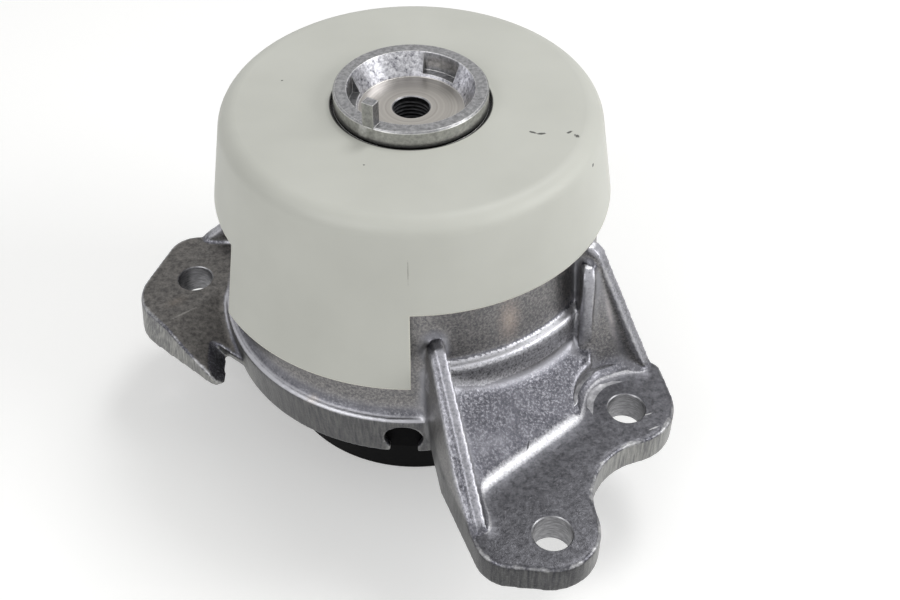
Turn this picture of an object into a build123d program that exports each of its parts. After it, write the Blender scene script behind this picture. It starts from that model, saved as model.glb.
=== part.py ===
from build123d import *
import os
from math import cos, hypot, radians, sin, sqrt, tan

# Hydraulic engine mount in a die-cast bracket.
# Millimetres, +Z up. The Z axis is the axis of the mount, and Z = 0 is the
# flat bottom of the base cup. The bracket's paired lugs point to -Y and +X.

# Bracket lugs: plates with one bolt hole each, on one seat plane
seat_height = 32.5
lug_thickness = 9.7
lug_hole_radius = 5.5
front_hole = (39.2, -99.4)
right_hole = (63.4, -54.8)
left_hole = (-71.7, 0.6)

# Front arm: rounded corners and a knee placed from its hole, and the rib on its left
front_corner_offset = (-10.9, -0.4)
front_corner_radius = 10.5
front_end_offset = (-0.8, 2.2)
front_end_radius = 14.1
front_knee_offset = (-27.9, 21.3)
front_knee_radius = 2.5
front_root_run = 46.0
front_rib_draft = 3.1
front_rib_rebate = 1.2
front_rib_rebate_drop = 1.5
front_rib_angle = -73.4
front_rib_top = 73.0
front_rib_shoulder = 4.0
front_rib_toe = 45.5

# Right arm, placed from its hole, and the bay between the two arms
right_end_offset = (-1.5, 2.4)
right_end_radius = 15.8
right_corner_offset = (8.0, 15.2)
right_corner_radius = 4.0
right_root_run = 26.0
right_rib_angle = -23.3
right_rib_top = 84.0
right_rib_shoulder = 5.0
right_rib_toe = 24.5
arm_bay_radius = 21.0
arm_fill_radius = 12.0

# Left lug, placed from its hole: a level pad, a sloping tab and a notch
left_end_offset = (-1.9, -5.8)
left_end_radius = 14.6
left_foot_offset = (-1.4, -9.1)
left_foot_radius = 15.2
left_back_offset = (-1.9, 12.0)
left_back_radius = 9.0
left_tab_offset = (10.8, -35.5)
left_tab_radius = 2.9
left_root_back = (-50.0, 12.0)
left_root_front = (-48.0, -20.0)
left_root_radius = 8.0
crease_offset = (2.2, -12.7)
crease_heading = -42.5
left_tab_slope = 14.0
notch_reach = 20.0
notch_offset = (12.2, -25.1)
notch_side_angle = -82.4
notch_back_angle = -39.0
notch_top_offset = (6.4, -25.4)
notch_top_side_angle = -104.0
notch_top_back_angle = -31.4
left_rib_offset = (-0.3, 19.9)
left_rib_angle = 0.0
left_rib_top = 57.4
left_rib_run = 17.4

# Ribs and the sloping web between them
rib_thickness = 4.5
rib_root = 12.0
rib_shoulder_radius = 5.0
rib_toe_radius = 6.0
buried_radius = 1.0
middle_rib_start = (50.8, -30.0)
middle_rib_angle = -86.0
middle_rib_thickness = 3.8
middle_rib_top = 79.0
middle_rib_shoulder = 6.5
middle_rib_toe = 10.0
middle_rib_toe_height = 51.0
middle_rib_foot = 12.0
saddle_facing = -67.0
saddle_slope = 75.5
saddle_foot_distance = 59.8
saddle_foot_radius = 6.0
saddle_apron = 14.0
saddle_top = 78.0
web_foot_distance = 77.4
web_facing = -48.5
web_slope = 30.0
web_foot_radius = 9.0
web_apron = 20.0
web_reach = 46.0
spotface_radius = 14.0
spotface_step_radius = 15.6
spotface_step_height = 2.2
spotface_clearance_height = 25.0

# Pot of the bracket
pot_waist_radius = 57.0
pot_waist_height = 66.0
pot_foot_flare = 0.6
pot_rim_taper = 3.6
pot_height = 97.5
pot_root_radius = 3.0
pot_waist_blend = 20.0
pot_rim_round = 2.0
pot_wall = 4.5
ledge_step = 3.2
ledge_height = 63.2
ledge_start = -84.5
ledge_end = -33.0
ledge_round = 1.5
ledge_root = 2.0
flange_width = 3.5
flange_rise = 0.6
flange_round = 0.8
skirt_wall = 2.9
skirt_taper = 1.1
skirt_foot_round = 0.5
skirt_drop = 0.6
window_angle = -92.1
window_radius = 5.7
window_rise = 1.4
window_mouth = 8.1
window_depth = 12.0

# Inside of the pot
sleeve_recess = 1.8
ring_wall = 3.0
ring_flange = 2.2
ring_height = 24.0
throat_step = 6.0
throat_lead = 4.0
stop_ring_thickness = 3.0
stop_ring_width = 8.5
stop_ring_overhang = 2.5
stop_lip_overlap = 1.5
stop_lip_height = 1.5

# Core
collar_radius = 22.3
collar_height = 117.5
collar_chamfer = 0.5
recess_rim_radius = 18.45
recess_floor_radius = 15.3
recess_depth = 7.0
thread_radius = 5.35
thread_depth = 30.0
pocket_count = 3
pocket_angle = 60.0
pocket_span = 38.0
pocket_floor = 1.0
pocket_radius = 18.2
tab_angle = -120.5
tab_width = 3.6
tab_depth = 3.0
tab_height = 7.2
tab_inset = 0.1
cap_seat_radius = 30.0
cap_seat_thickness = 4.6
spigot_height = 0.7
neck_radius = 25.0
rebound_side_gap = 3.5
rebound_flange_thickness = 4.0
core_nose_radius = 13.0
core_nose_height = 69.0
buffer_thickness = 2.6
buffer_gap = 0.4
buffer_width = 9.0
buffer_taper = 1.0

# Rubber spring
spring_skin = 3.0
spring_nose_lip = 2.0
spring_neck_width = 3.0
spring_neck_drop = 1.5
spring_foot_width = 9.0
spring_foot_rise = 2.0
spring_foot_height = 4.0
spring_head_width = 4.0
spring_head_drop = 1.0

# Cap
cap_height = 112.6
cap_wall = 1.5
cap_hole_radius = 23.2
cap_flare = 9.36
cap_edge_radius = 5.5
cap_short_edge = 84.4
cap_long_edge = 59.6
cap_long_start = -148.8
cap_long_end = -89.5

# Base cup
cup_wall = 2.5
cup_floor_radius = 3.0
cup_flare = 5.0
cup_shoulder_width = 7.05
cup_shoulder_drop = 5.3
cup_sleeve_wall = 2.2
cup_vent_radius = 2.0
cup_vent_distance = 28.0

# Fluid section, stacked in the cup's sleeve
bead_width = 6.0
bead_thickness = 2.5
bellows_wall = 1.5
bellows_depth = 16.5
bellows_dome_rise = 5.0
bellows_dome_radius = 20.0
bellows_fold_width = 7.0
bellows_trough_inset = 13.0
bellows_round = 2.5
bellows_side_gap = 1.5
bellows_ring_thickness = 1.2
lower_plate_thickness = 2.6
membrane_land = 9.0
membrane_thickness = 2.4
membrane_gap = 0.3
grid_hole_radius = 3.4
grid_ring_radius = 15.0
grid_hole_count = 8
channel_rim = 9.8
channel_width = 9.0
channel_depth = 2.6
channel_sweep = 300.0
channel_port_radius = 4.0
channel_port_inset = 6.0
seal_inset = 2.6
seal_section = 0.95

# Gap between pieces that are pressed, bonded or clamped together
fit_gap = 0.05

# Heights that follow from the stack
lug_top = seat_height + lug_thickness
flange_top = lug_top + flange_rise
window_height = seat_height + window_rise
cup_shoulder_height = seat_height - cup_shoulder_drop
skirt_bottom = cup_shoulder_height + skirt_drop
sleeve_floor = cup_shoulder_height + cup_wall
sleeve_top = flange_top - sleeve_recess
bead_top = sleeve_floor + bead_thickness
bellows_ring_top = bead_top + bellows_ring_thickness
lower_plate_top = bellows_ring_top + lower_plate_thickness
pot_shoulder = sleeve_top + ring_flange
ring_top = pot_shoulder + ring_height
stop_ring_top = pot_height - stop_lip_height
stop_ring_seat = stop_ring_top - stop_ring_thickness
rebound_flange_top = stop_ring_seat - buffer_gap - buffer_thickness
rebound_flange_underside = rebound_flange_top - rebound_flange_thickness
cap_seat = cap_height - cap_wall
recess_floor = collar_height - recess_depth

# Radii that follow from the pot's waist and the fits
pot_foot_radius = pot_waist_radius + pot_foot_flare
pot_rim_radius = pot_waist_radius - pot_rim_taper
ledge_radius = pot_waist_radius + ledge_step
flange_radius = pot_foot_radius + flange_width
skirt_foot_radius = flange_radius - skirt_taper
skirt_bore = skirt_foot_radius - skirt_wall
sleeve_radius = skirt_bore - fit_gap
stack_radius = sleeve_radius - cup_sleeve_wall - fit_gap
pot_bore = pot_waist_radius - pot_wall
ring_radius = pot_bore - fit_gap
ring_bore = ring_radius - ring_wall
spring_radius = ring_bore - fit_gap
throat_radius = pot_bore - throat_step
stop_ring_bore = throat_radius - stop_ring_width
rebound_flange_radius = throat_radius - rebound_side_gap
stop_ring_pocket = throat_radius + stop_ring_overhang
spigot_radius = cap_hole_radius - fit_gap
cap_top_radius = pot_rim_radius + cap_wall
cup_mouth_radius = sleeve_radius - cup_shoulder_width
cup_radius = cup_mouth_radius - cup_flare
bellows_trough_radius = cup_mouth_radius - bellows_trough_inset
channel_inner_radius = stack_radius - channel_rim - channel_width
membrane_radius = channel_inner_radius - membrane_land
seal_radius = stack_radius - seal_inset


def polar(radius, angle):
    """Plan point at a radius and angle from the mount axis."""
    return (radius * cos(radians(angle)), radius * sin(radians(angle)))


def shifted(point, offset):
    """Plan point moved by an offset."""
    return (point[0] + offset[0], point[1] + offset[1])


def beside(point, angle, run, aside=0):
    """Plan point a run along an angle from a point, and a step aside to the right."""
    return (point[0] + run * cos(radians(angle)) + aside * sin(radians(angle)),
            point[1] + run * sin(radians(angle)) - aside * cos(radians(angle)))


def hull_of(*discs):
    """Outline wrapped tightly round discs given as centre and radius."""
    with BuildSketch() as outline:
        for centre, radius in discs:
            with Locations(centre):
                Circle(radius)
        make_hull()
    return outline.sketch


def bay_centre(first, first_radius, second, second_radius, radius):
    """Centre of the arc that touches two discs from outside, on their right."""
    run = hypot(second[0] - first[0], second[1] - first[1])
    ux = (second[0] - first[0]) / run
    uy = (second[1] - first[1]) / run
    near = first_radius + radius
    far = second_radius + radius
    along = (near**2 - far**2 + run**2) / (2 * run)
    away = sqrt(near**2 - along**2)
    return (first[0] + ux * along + uy * away, first[1] + uy * along - ux * away)


def run_to(start, angle, radius):
    """Length of a plan line from a point to where it leaves a circle."""
    across = start[0] * sin(radians(angle)) - start[1] * cos(radians(angle))
    along = start[0] * cos(radians(angle)) + start[1] * sin(radians(angle))
    return sqrt(radius**2 - across**2) - along


def rib_plane(start, angle):
    """Upright plane along a plan line: X runs outwards, Y up, the normal to the right."""
    return Plane(origin=(start[0], start[1], 0), x_dir=(cos(radians(angle)), sin(radians(angle)), 0),
                 z_dir=(sin(radians(angle)), -cos(radians(angle)), 0))


def side_rib(start, angle, aside, thickness, points, radii):
    """Rib on a plan line, from (run, height) corners, with its right face set aside."""
    with BuildPart() as rib:
        with BuildSketch(rib_plane(start, angle).offset(aside)):
            with BuildLine():
                FilletPolyline(*points, radius=radii, close=True)
            make_face()
        extrude(amount=-thickness)
    return rib.part


# Plan points of the lugs
front_corner = shifted(front_hole, front_corner_offset)
front_end = shifted(front_hole, front_end_offset)
front_knee = shifted(front_hole, front_knee_offset)
front_root = beside(front_corner, front_rib_angle, -front_root_run)
right_corner = shifted(right_hole, right_corner_offset)
right_end = shifted(right_hole, right_end_offset)
right_root = beside(right_corner, right_rib_angle, -right_root_run)
arm_fill = polar(pot_waist_radius - arm_fill_radius, web_facing)
arm_bay = bay_centre(front_end, front_end_radius, right_end, right_end_radius, arm_bay_radius)
left_end = shifted(left_hole, left_end_offset)
left_foot = shifted(left_hole, left_foot_offset)
left_back = shifted(left_hole, left_back_offset)
left_tab = shifted(left_hole, left_tab_offset)
left_crease = shifted(left_hole, crease_offset)
left_notch = shifted(left_hole, notch_offset)
left_notch_top = shifted(left_hole, notch_top_offset)
left_rib_start = shifted(left_hole, left_rib_offset)

# Plan outline of the two arms, with the bay between their lugs
with BuildSketch() as arms_outline:
    add(hull_of((front_corner, front_corner_radius), (front_end, front_end_radius),
                (front_knee, front_knee_radius), (front_root, front_corner_radius)))
    add(hull_of((right_corner, right_corner_radius), (right_end, right_end_radius),
                (right_root, right_corner_radius), (arm_fill, arm_fill_radius)))
    with BuildLine():
        Polyline(front_end, arm_bay, right_end, arm_fill, front_root, close=True)
    make_face()
    with Locations(arm_bay):
        Circle(arm_bay_radius, mode=Mode.SUBTRACT)

# Left lug: a level pad round the hole, and a tab that slopes down to its tip, with
# a leaning side and a notch beside it
crease_plane = Plane(origin=(left_crease[0], left_crease[1], lug_top),
                     x_dir=(*polar(1, crease_heading + 90), 0),
                     z_dir=(*polar(sin(radians(left_tab_slope)), crease_heading),
                            cos(radians(left_tab_slope))))
with BuildPart() as left_lug:
    for height, centre, radius in ((seat_height, left_foot, left_foot_radius),
                                   (lug_top, left_end, left_end_radius)):
        with BuildSketch(Plane.XY.offset(height)):
            add(hull_of((centre, radius), (left_tab, left_tab_radius),
                        (left_root_front, left_root_radius)))
    loft(ruled=True)
    with BuildSketch(Plane.XY.offset(seat_height)):
        add(hull_of((left_end, left_end_radius), (left_back, left_back_radius),
                    (left_root_back, left_root_radius)))
    extrude(amount=lug_thickness)
    for height, corner, side_angle, back_angle in (
            (seat_height, left_notch, notch_side_angle, notch_back_angle),
            (lug_top, left_notch_top, notch_top_side_angle, notch_top_back_angle)):
        with BuildSketch(Plane.XY.offset(height)):
            with BuildLine():
                Polyline(corner, beside(corner, side_angle, notch_reach),
                         beside(corner, back_angle, notch_reach), close=True)
            make_face()
    loft(ruled=True, mode=Mode.SUBTRACT)
    split(bisect_by=crease_plane, keep=Keep.BOTTOM)

# Ribs: one along each arm's outer side, one between them and one on the left lug
front_rib_run = run_to(front_root, front_rib_angle, pot_waist_radius)
front_rib_slope = (front_rib_top - lug_top) / (front_rib_toe - front_rib_shoulder)
front_rib_lean = (front_rib_top - seat_height) * tan(radians(front_rib_draft))


def front_rib_layer(aside, thickness, drop):
    """Layer of the front rib with its right face set aside and its top edge lowered."""
    toe = front_rib_run + front_rib_toe - drop / front_rib_slope
    return side_rib(
        front_root, front_rib_angle, aside, thickness,
        ((front_rib_run - rib_root, seat_height), (front_rib_run - rib_root, front_rib_top - drop),
         (front_rib_run + front_rib_shoulder, front_rib_top - drop), (toe, lug_top),
         (toe, seat_height)),
        (buried_radius, buried_radius, rib_shoulder_radius, rib_toe_radius, buried_radius))


# The front rib's left face leans out to its foot, and its top has a rebate on that side
front_rib_face = beside(front_root, front_rib_angle, 0, front_corner_radius)
front_rib_plane = Plane(origin=(front_rib_face[0], front_rib_face[1], front_rib_top),
                        x_dir=(*polar(1, front_rib_angle), 0),
                        z_dir=(*polar(cos(radians(front_rib_draft)), front_rib_angle - 90),
                               sin(radians(front_rib_draft))))
with BuildPart() as front_rib:
    add(front_rib_layer(front_corner_radius + front_rib_lean,
                        front_rib_rebate + front_rib_lean, front_rib_rebate_drop))
    split(bisect_by=front_rib_plane, keep=Keep.BOTTOM)
    add(front_rib_layer(front_corner_radius - front_rib_rebate,
                        rib_thickness - front_rib_rebate, 0))
right_rib_run = run_to(right_root, right_rib_angle, pot_waist_radius)
right_rib = side_rib(
    right_root, right_rib_angle, rib_thickness - right_corner_radius, rib_thickness,
    ((right_rib_run - rib_root, seat_height), (right_rib_run - rib_root, right_rib_top),
     (right_rib_run + right_rib_shoulder, right_rib_top),
     (right_rib_run + right_rib_toe, lug_top), (right_rib_run + right_rib_toe, seat_height)),
    (buried_radius, buried_radius, rib_shoulder_radius, rib_toe_radius, buried_radius))
middle_rib = side_rib(
    middle_rib_start, middle_rib_angle, middle_rib_thickness / 2, middle_rib_thickness,
    ((-rib_root, seat_height), (-rib_root, middle_rib_top), (middle_rib_shoulder, middle_rib_top),
     (middle_rib_toe, middle_rib_toe_height), (middle_rib_toe + middle_rib_foot, lug_top),
     (middle_rib_toe + middle_rib_foot, seat_height)),
    (buried_radius, buried_radius, rib_shoulder_radius, rib_toe_radius, buried_radius,
     buried_radius))
left_rib = side_rib(
    left_rib_start, left_rib_angle, rib_thickness / 2, rib_thickness,
    ((0, seat_height), (0, lug_top), (left_rib_run, left_rib_top),
     (left_rib_run + rib_toe_radius, left_rib_top), (left_rib_run + rib_toe_radius, seat_height)),
    (buried_radius, buried_radius, buried_radius, buried_radius, buried_radius))

# Web: a sloping floor from the pot down to the plate, between two of the ribs
web_rise = web_foot_distance * tan(radians(web_slope))
web_side = front_corner_radius - rib_thickness / 2
with BuildPart() as web:
    with BuildSketch(rib_plane((0, 0), web_facing)):
        with BuildLine():
            FilletPolyline((0, seat_height), (0, lug_top + web_rise),
                           (web_foot_distance, lug_top), (web_foot_distance + web_apron, lug_top),
                           (web_foot_distance + web_apron, seat_height),
                           radius=(buried_radius, buried_radius, web_foot_radius, buried_radius,
                                   buried_radius), close=True)
        make_face()
    extrude(amount=web_foot_distance, both=True)
    with BuildSketch(Plane.XY.offset(seat_height)):
        with BuildLine():
            Polyline(beside(front_root, front_rib_angle, -rib_root, web_side),
                     beside(front_corner, front_rib_angle, 0, web_side),
                     beside(middle_rib_start, middle_rib_angle, web_reach),
                     beside(middle_rib_start, middle_rib_angle, -rib_root), close=True)
        make_face()
    extrude(amount=lug_thickness + web_rise, mode=Mode.INTERSECT)

# Saddle: a steep face between the middle rib and the right rib
saddle_head_distance = saddle_foot_distance - (saddle_top - lug_top) / tan(radians(saddle_slope))
with BuildPart() as saddle:
    with BuildSketch(rib_plane((0, 0), saddle_facing)):
        with BuildLine():
            FilletPolyline((0, seat_height), (0, saddle_top), (saddle_head_distance, saddle_top),
                           (saddle_foot_distance, lug_top),
                           (saddle_foot_distance + saddle_apron, lug_top),
                           (saddle_foot_distance + saddle_apron, seat_height),
                           radius=(buried_radius, buried_radius, rib_shoulder_radius,
                                   saddle_foot_radius, buried_radius, buried_radius), close=True)
        make_face()
    extrude(amount=saddle_foot_distance, both=True)
    with BuildSketch(Plane.XY.offset(seat_height)):
        with BuildLine():
            Polyline(beside(middle_rib_start, middle_rib_angle, middle_rib_thickness),
                     beside(middle_rib_start, middle_rib_angle, middle_rib_toe),
                     right_hole, right_corner,
                     beside(right_root, right_rib_angle, middle_rib_thickness), close=True)
        make_face()
    extrude(amount=saddle_top - seat_height, mode=Mode.INTERSECT)

# Bracket: one die casting of pot, skirt, lugs, ribs and web
with BuildPart() as housing_bracket:
    with BuildSketch(Plane.XY.offset(seat_height)):
        add(arms_outline.sketch)
    extrude(amount=lug_thickness)
    add(front_rib.part)
    add(right_rib)
    add(middle_rib)
    add(web.part)
    add(saddle.part)
    with BuildSketch(Plane.XY.offset(seat_height)):
        add(arms_outline.sketch)
        Circle(pot_waist_radius)
    extrude(amount=pot_height, mode=Mode.INTERSECT)
    for height, radius in ((spotface_step_height, spotface_step_radius), (0, spotface_radius)):
        with BuildSketch(Plane.XY.offset(lug_top + height)):
            with Locations(right_hole):
                Circle(radius)
        extrude(amount=spotface_clearance_height - height, mode=Mode.SUBTRACT)
    add(left_lug.part)
    add(left_rib)

    # Pot, flange and skirt, solid out from the stop ring's bore, and the raised ledge
    with BuildSketch(Plane.XZ):
        with BuildLine():
            FilletPolyline((stop_ring_bore, skirt_bottom), (skirt_foot_radius, skirt_bottom),
                           (flange_radius, flange_top), (pot_foot_radius, flange_top),
                           (pot_waist_radius, pot_waist_height), (pot_rim_radius, pot_height),
                           (stop_ring_bore, pot_height),
                           radius=(buried_radius, skirt_foot_round, flange_round, pot_root_radius,
                                   pot_waist_blend, pot_rim_round, buried_radius), close=True)
        make_face()
    revolve(axis=Axis.Z)
    with BuildSketch(rib_plane((0, 0), ledge_start)):
        with BuildLine():
            FilletPolyline((pot_waist_radius - ledge_root, lug_top), (ledge_radius, lug_top),
                           (ledge_radius, ledge_height),
                           (pot_waist_radius - ledge_root, ledge_height),
                           radius=(buried_radius, buried_radius, ledge_round, buried_radius),
                           close=True)
        make_face()
    revolve(axis=Axis.Z, revolution_arc=ledge_end - ledge_start)

    # Bore: skirt, spring ring, throat and the groove that holds the stop ring
    with BuildSketch(Plane.XZ):
        with BuildLine():
            Polyline((0, 0), (skirt_bore, 0), (skirt_bore, pot_shoulder),
                     (pot_bore, pot_shoulder), (pot_bore, ring_top),
                     (throat_radius, ring_top + throat_lead), (throat_radius, stop_ring_seat),
                     (stop_ring_pocket, stop_ring_seat), (stop_ring_pocket, stop_ring_top),
                     (stop_ring_pocket - stop_lip_overlap, stop_ring_top),
                     (stop_ring_pocket - stop_lip_overlap, collar_height),
                     (0, collar_height), close=True)
        make_face()
    revolve(axis=Axis.Z, mode=Mode.SUBTRACT)

    # Bolt holes, and the window in the skirt
    with BuildSketch(Plane.XY.offset(seat_height)):
        with Locations(front_hole, right_hole, left_hole):
            Circle(lug_hole_radius)
    extrude(amount=lug_thickness, mode=Mode.SUBTRACT)
    with BuildSketch(rib_plane((0, 0), window_angle + 90).offset(skirt_bore - skirt_wall)):
        with Locations((0, window_height)):
            Circle(window_radius)
            Rectangle(window_mouth, window_height, align=(Align.CENTER, Align.MAX))
    extrude(amount=window_depth, mode=Mode.SUBTRACT)
housing_bracket.part.label = "housing_bracket"

# Ring that carries the rubber spring, pushed into the pot from below
with BuildPart() as spring_ring:
    with BuildSketch(Plane.XY.offset(sleeve_top)):
        Circle(sleeve_radius)
    extrude(amount=ring_flange)
    with BuildSketch(Plane.XY.offset(pot_shoulder)):
        Circle(ring_radius)
    extrude(amount=ring_height)
    Hole(ring_bore)
spring_ring.part.label = "spring_ring"

# Rubber spring: a hollow cone bonded to the ring and to the nose of the core
with BuildPart() as main_spring:
    with BuildSketch(Plane.XZ):
        with BuildLine():
            Polyline((0, core_nose_height - spring_skin),
                     (core_nose_radius + spring_nose_lip, core_nose_height - spring_skin),
                     (spring_radius - spring_foot_width, pot_shoulder + spring_foot_height),
                     (spring_radius, pot_shoulder + spring_foot_rise),
                     (spring_radius, ring_top - spring_head_drop),
                     (spring_radius - spring_head_width, ring_top),
                     (neck_radius + spring_neck_width, rebound_flange_underside - spring_neck_drop),
                     (neck_radius + fit_gap, rebound_flange_underside - fit_gap),
                     (core_nose_radius + fit_gap, core_nose_height - fit_gap),
                     (0, core_nose_height - fit_gap), close=True)
        make_face()
    revolve(axis=Axis.Z)
main_spring.part.label = "main_spring"

# Core: one casting of nose, rebound flange, neck, cap seat and collar
with BuildPart() as core:
    with BuildSketch(Plane.XZ):
        with BuildLine():
            Polyline((0, core_nose_height), (core_nose_radius, core_nose_height),
                     (neck_radius, rebound_flange_underside),
                     (rebound_flange_radius, rebound_flange_underside),
                     (rebound_flange_radius, rebound_flange_top),
                     (neck_radius, rebound_flange_top),
                     (neck_radius, cap_seat - cap_seat_thickness),
                     (cap_seat_radius, cap_seat - cap_seat_thickness),
                     (cap_seat_radius, cap_seat), (spigot_radius, cap_seat),
                     (spigot_radius, cap_seat + spigot_height),
                     (collar_radius, cap_seat + spigot_height),
                     (collar_radius, collar_height - collar_chamfer),
                     (collar_radius - collar_chamfer, collar_height),
                     (recess_rim_radius, collar_height),
                     (recess_floor_radius, recess_floor), (0, recess_floor), close=True)
        make_face()
    revolve(axis=Axis.Z)
    with BuildSketch(Plane.XY.offset(recess_floor)):
        Circle(thread_radius)
    extrude(amount=-thread_depth, mode=Mode.SUBTRACT)
    for pocket in range(pocket_count):
        pocket_start = pocket_angle + pocket * 360 / pocket_count - pocket_span / 2
        with BuildSketch(rib_plane((0, 0), pocket_start)):
            with Locations((recess_floor_radius, recess_floor + pocket_floor)):
                Rectangle(pocket_radius - recess_floor_radius, recess_depth,
                          align=(Align.MIN, Align.MIN))
        revolve(axis=Axis.Z, revolution_arc=pocket_span, mode=Mode.SUBTRACT)
    with BuildSketch(Plane.XY.offset(recess_floor)):
        with Locations(Location(polar(collar_radius - tab_inset, tab_angle), tab_angle)):
            Rectangle(tab_depth, tab_width, align=(Align.MAX, Align.CENTER))
    extrude(amount=recess_depth + tab_height)
core.part.label = "core"

# Rubber ring on top of the core's rebound flange
with BuildPart() as rebound_buffer:
    with BuildSketch(Plane.XZ):
        with BuildLine():
            Polyline((rebound_flange_radius - buffer_width, rebound_flange_top),
                     (rebound_flange_radius, rebound_flange_top),
                     (rebound_flange_radius - buffer_taper, rebound_flange_top + buffer_thickness),
                     (rebound_flange_radius - buffer_width + buffer_taper,
                      rebound_flange_top + buffer_thickness), close=True)
        make_face()
    revolve(axis=Axis.Z)
rebound_buffer.part.label = "rebound_buffer"

# Steel ring that stops the core on rebound, held under the pot's turned-in lip
with BuildPart() as stop_ring:
    with BuildSketch(Plane.XY.offset(stop_ring_seat)):
        Circle(stop_ring_pocket - fit_gap)
        Circle(stop_ring_bore, mode=Mode.SUBTRACT)
    extrude(amount=stop_ring_thickness)
stop_ring.part.label = "stop_ring"


def cap_radius(height):
    """Outer radius of the cap's flared wall at a height."""
    return cap_top_radius + (cap_height - height) * tan(radians(cap_flare))


# Cap: a thin flared shell, cut long over one side of the pot
cap_skin = cap_wall / cos(radians(cap_flare))
with BuildPart() as heat_shield_cap:
    for lower_edge, start, sweep in (
            (cap_short_edge, 0, 360),
            (cap_long_edge, cap_long_start, cap_long_end - cap_long_start)):
        with BuildSketch(rib_plane((0, 0), start)):
            with BuildLine():
                top = FilletPolyline((cap_hole_radius, cap_height), (cap_top_radius, cap_height),
                                     (cap_radius(lower_edge), lower_edge), radius=cap_edge_radius)
                inner = FilletPolyline((cap_hole_radius, cap_seat),
                                       (cap_radius(cap_seat) - cap_skin, cap_seat),
                                       (cap_radius(lower_edge) - cap_skin, lower_edge),
                                       radius=cap_edge_radius - cap_wall)
                Line(top @ 0, inner @ 0)
                Line(top @ 1, inner @ 1)
            make_face()
        revolve(axis=Axis.Z, revolution_arc=sweep)
heat_shield_cap.part.label = "heat_shield_cap"

# Base cup: a flared bowl with an air vent, and a sleeve that clamps the fluid section
with BuildPart() as base_cup:
    with BuildSketch(Plane.XZ):
        with BuildLine():
            Line((0, 0), (cup_radius - cup_floor_radius, 0))
            TangentArc((cup_radius - cup_floor_radius, 0), (cup_radius, cup_floor_radius),
                       tangent=(1, 0))
            Polyline((cup_radius, cup_floor_radius), (cup_mouth_radius, cup_shoulder_height),
                     (sleeve_radius, cup_shoulder_height), (sleeve_radius, sleeve_top),
                     (sleeve_radius - cup_sleeve_wall, sleeve_top),
                     (sleeve_radius - cup_sleeve_wall, sleeve_floor),
                     (cup_mouth_radius - cup_wall, sleeve_floor),
                     (cup_radius - cup_wall, cup_floor_radius + cup_wall),
                     (cup_radius - cup_wall - cup_floor_radius, cup_wall), (0, cup_wall), (0, 0))
        make_face()
    revolve(axis=Axis.Z)
    with BuildSketch():
        with Locations(polar(cup_vent_distance, 0)):
            Circle(cup_vent_radius)
    extrude(amount=cup_wall, mode=Mode.SUBTRACT)
base_cup.part.label = "base_cup"

# Bellows: a thin rubber bowl with a raised middle, and a bead on the sleeve's floor
bellows_floor = sleeve_floor - bellows_depth
bead_inner = stack_radius - bead_width
with BuildPart() as bellows:
    with BuildSketch(Plane.XZ):
        with BuildLine():
            FilletPolyline((0, bellows_floor + bellows_dome_rise),
                           (bellows_dome_radius, bellows_floor + bellows_dome_rise),
                           (bellows_dome_radius + bellows_fold_width, bellows_floor),
                           (bellows_trough_radius, bellows_floor),
                           (cup_mouth_radius - cup_wall - bellows_side_gap, sleeve_floor),
                           (bead_inner + bellows_wall, sleeve_floor), radius=bellows_round)
            offset(amount=bellows_wall, side=Side.LEFT)
        make_face()
        with Locations((bead_inner, sleeve_floor)):
            Rectangle(bead_width, bead_thickness, align=(Align.MIN, Align.MIN))
    revolve(axis=Axis.Z)
bellows.part.label = "bellows"

# Steel ring that presses the bellows' bead down
with BuildPart() as bellows_ring:
    with BuildSketch(Plane.XY.offset(bead_top)):
        Circle(stack_radius)
        Circle(bead_inner, mode=Mode.SUBTRACT)
    extrude(amount=bellows_ring_thickness)
bellows_ring.part.label = "bellows_ring"

# Channel plates: the upper one holds the ring channel and the membrane's recess
channel_middle = channel_inner_radius + channel_width / 2


def grid_holes():
    """Ring of holes and one in the middle, over and under the membrane."""
    with PolarLocations(grid_ring_radius, grid_hole_count):
        Circle(grid_hole_radius)
    Circle(grid_hole_radius)


with BuildPart() as lower_channel_plate:
    with BuildSketch(Plane.XY.offset(bellows_ring_top)):
        Circle(stack_radius)
    extrude(amount=lower_plate_thickness)
    with BuildSketch(Plane.XY.offset(bellows_ring_top)):
        grid_holes()
        with Locations(polar(channel_middle, channel_sweep - channel_port_inset)):
            Circle(channel_port_radius)
    extrude(amount=lower_plate_thickness, mode=Mode.SUBTRACT)
lower_channel_plate.part.label = "lower_channel_plate"

with BuildPart() as upper_channel_plate:
    with BuildSketch(Plane.XY.offset(lower_plate_top)):
        Circle(stack_radius)
    extrude(amount=sleeve_top - lower_plate_top)
    with BuildSketch(Plane.XY.offset(lower_plate_top)):
        Circle(membrane_radius + membrane_gap)
    extrude(amount=membrane_thickness + membrane_gap, mode=Mode.SUBTRACT)
    with BuildSketch(Plane.XY.offset(lower_plate_top)):
        grid_holes()
        with Locations(polar(channel_middle, channel_port_inset)):
            Circle(channel_port_radius)
    extrude(amount=sleeve_top - lower_plate_top, mode=Mode.SUBTRACT)
    with BuildSketch(rib_plane((0, 0), 0)):
        with Locations((channel_inner_radius, lower_plate_top)):
            Rectangle(channel_width, channel_depth, align=(Align.MIN, Align.MIN))
    revolve(axis=Axis.Z, revolution_arc=channel_sweep, mode=Mode.SUBTRACT)
    with BuildSketch(Plane.XZ):
        with Locations((seal_radius, sleeve_top)):
            Rectangle(2 * (seal_section + fit_gap), 2 * seal_section + fit_gap,
                      align=(Align.CENTER, Align.MAX))
    revolve(axis=Axis.Z, mode=Mode.SUBTRACT)
upper_channel_plate.part.label = "upper_channel_plate"

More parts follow.
